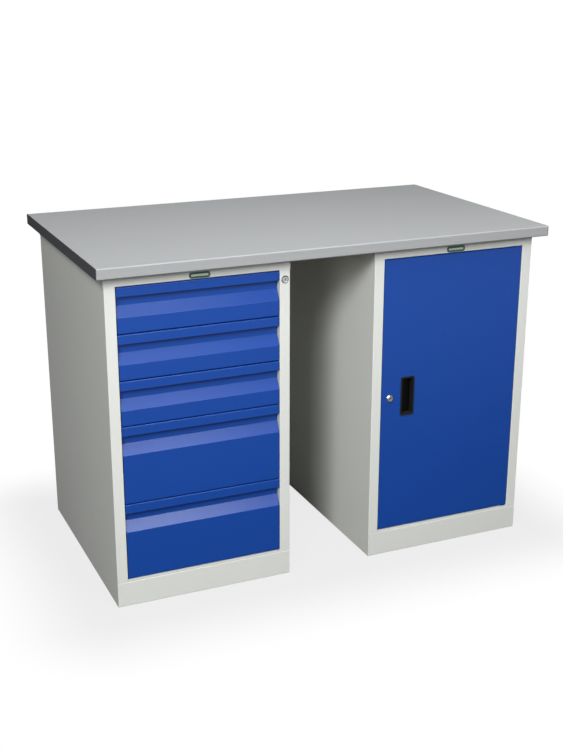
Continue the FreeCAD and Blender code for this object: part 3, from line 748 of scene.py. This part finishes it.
class WORKBENCH_OT_stage(PaintedOperator, bpy.types.Operator):
    """Set the camera, the lamps, the pale floor and the white backdrop"""

    bl_idname = "workbench.stage"
    bl_label = "Stage"

    def execute(self, context):
        settings = context.scene.workbench_stage
        context.scene.view_settings.view_transform = "Standard"
        self.add_camera(context, settings)
        for name in LAMPS:
            self.add_lamp(context, settings, name)
        self.add_floor(settings)
        self.add_backdrop(context, settings)
        return {"FINISHED"}

    def add_camera(self, context, settings):
        """The camera of the photograph."""
        camera = bpy.data.objects.new("photo camera", bpy.data.cameras.new("photo camera"))
        context.scene.collection.objects.link(camera)
        camera.location = settings.eye
        camera.rotation_euler = Euler((math.pi / 2 - settings.tilt, 0.0, -settings.turn))
        camera.data.lens = settings.lens
        camera.data.sensor_width = settings.sensor
        camera.data.sensor_fit = "AUTO"
        context.scene.camera = camera

    def add_lamp(self, context, settings, name):
        """A square soft box that faces the bench."""
        title = name + " lamp"
        lamp = bpy.data.objects.new(title, bpy.data.lights.new(title, "AREA"))
        context.scene.collection.objects.link(lamp)
        lamp.data.energy = getattr(settings, name + "_power")
        lamp.data.size = getattr(settings, name + "_width")
        lamp.location = getattr(settings, name + "_place")
        facing = Vector(settings.aim) - lamp.location
        lamp.rotation_euler = facing.to_track_quat("-Z", "Y").to_euler()

    def rays(self, finish):
        """One for a camera or transmission ray, and one for a glossy ray."""
        camera = finish.node("ShaderNodeLightPath", output="Is Camera Ray")
        through = finish.node("ShaderNodeLightPath", output="Is Transmission Ray")
        glossy = finish.node("ShaderNodeLightPath", output="Is Glossy Ray")
        return finish.maths("MAXIMUM", camera, through), glossy

    def beyond(self, finish, axis, half):
        """How far a point of the floor lies outside the bench along an axis."""
        offset = finish.maths("ABSOLUTE", finish.along(axis))
        return finish.maths("MAXIMUM", offset - half, 0.0)

    def reach(self, finish):
        """Distance of a point of the floor from the bench's outline."""
        low, high = cad_box
        aside = self.beyond(finish, "X", (high[0] - low[0]) / 2)
        ahead = self.beyond(finish, "Y", (high[1] - low[1]) / 2)
        return finish.maths("SQRT", aside * aside + ahead * ahead)

    def fade(self, finish, reach, far, lowest):
        """Rises from a lowest share at the bench to one at a distance."""
        inputs = {"Value": reach, "From Min": 0.0, "From Max": far, "To Min": lowest, "To Max": 1.0}
        return finish.node("ShaderNodeMapRange", {"interpolation_type": "SMOOTHSTEP"}, inputs)

    def add_floor(self, settings):
        """A floor that takes real shadow in its matt share and painted shadow where its own glow dims near
        the bench; it turns white away from it.
        """
        bpy.ops.object.select_all(action="DESELECT")
        level = (0.0, 0.0, -settings.floor_drop)
        bpy.ops.mesh.primitive_plane_add(size=settings.floor_width, location=level)
        floor = bpy.context.active_object
        floor.name = "studio floor"
        finish = new_finish("studio floor")
        matt = finish.node("ShaderNodeBsdfDiffuse", inputs={"Color": opaque(settings.floor_shade)})
        glow = finish.node("ShaderNodeEmission", inputs={"Color": opaque(1.0), "Strength": 1.0})
        direct, mirror = self.rays(finish)
        in_front = cad_box[0][1] - finish.along("Y")
        # Painted shadow: the floor's own glow is dimmed near the bench's outline, on top of the real shadow
        # in its matt share
        glow_with_painted_shadow = direct * self.fade(finish, self.reach(finish), settings.floor_fade, settings.floor_lift)
        # Painted shade in reflections: the floor's glow is dark just in front of the bench and bright far
        # ahead
        mirrored = mirror * self.fade(finish, in_front, settings.gloss_reach, 0.0)
        share = glow_with_painted_shadow + mirrored * settings.floor_gloss
        mixed = finish.node("ShaderNodeMixShader", inputs={0: share, 1: matt, 2: glow})
        finish.node("ShaderNodeOutputMaterial", inputs={"Surface": mixed})
        floor.data.materials.append(finish.owner)

    def add_backdrop(self, context, settings):
        """White for the camera, weaker in reflections and nearly dark as a light."""
        world = bpy.data.worlds.new("white backdrop")
        context.scene.world = world
        finish = Finish(world)
        direct, mirror = self.rays(finish)
        strength = settings.fill + (direct + mirror * settings.backdrop_gloss) * (1.0 - settings.fill)
        light = finish.node("ShaderNodeBackground", inputs={"Color": opaque(1.0), "Strength": strength})
        finish.node("ShaderNodeOutputWorld", inputs={"Surface": light})


STEPS = (
    WORKBENCH_OT_worktop,
    WORKBENCH_OT_carcasses,
    WORKBENCH_OT_fronts,
    WORKBENCH_OT_hardware,
    WORKBENCH_OT_rail_plates,
    WORKBENCH_OT_tray_rivets,
    WORKBENCH_OT_stage,
)

SETTINGS = {
    "workbench_finishes": WorkbenchFinishes,
    "workbench_plates": WorkbenchPlates,
    "workbench_rivets": WorkbenchRivets,
    "workbench_stage": WorkbenchStage,
}


class WORKBENCH_PT_dressing(bpy.types.Panel):
    """Settings and steps of the workbench dressing"""

    bl_idname = "WORKBENCH_PT_dressing"
    bl_label = "Workbench"
    bl_space_type = "VIEW_3D"
    bl_region_type = "UI"
    bl_category = "Workbench"

    def draw(self, context):
        for step in STEPS:
            self.layout.operator(step.bl_idname)
        for name, group in SETTINGS.items():
            box = self.layout.box()
            box.label(text=group.__doc__)
            for key in group.__annotations__:
                box.prop(getattr(context.scene, name), key)


def register():
    """Make the settings, the steps and the panel known to Blender."""
    for group in SETTINGS.values():
        bpy.utils.register_class(group)
    for step in STEPS:
        bpy.utils.register_class(step)
    bpy.utils.register_class(WORKBENCH_PT_dressing)
    for name, group in SETTINGS.items():
        setattr(bpy.types.Scene, name, PointerProperty(type=group))


def unregister():
    """Take back everything that register has added."""
    for name in SETTINGS:
        delattr(bpy.types.Scene, name)
    bpy.utils.unregister_class(WORKBENCH_PT_dressing)
    for step in reversed(STEPS):
        bpy.utils.unregister_class(step)
    for group in reversed(SETTINGS.values()):
        bpy.utils.unregister_class(group)


def main():
    """Run all steps in order."""
    register()
    bpy.ops.workbench.worktop()
    bpy.ops.workbench.carcasses()
    bpy.ops.workbench.fronts()
    bpy.ops.workbench.hardware()
    bpy.ops.workbench.rail_plates()
    bpy.ops.workbench.tray_rivets()
    bpy.ops.workbench.stage()


if __name__ == "__main__":
    main()
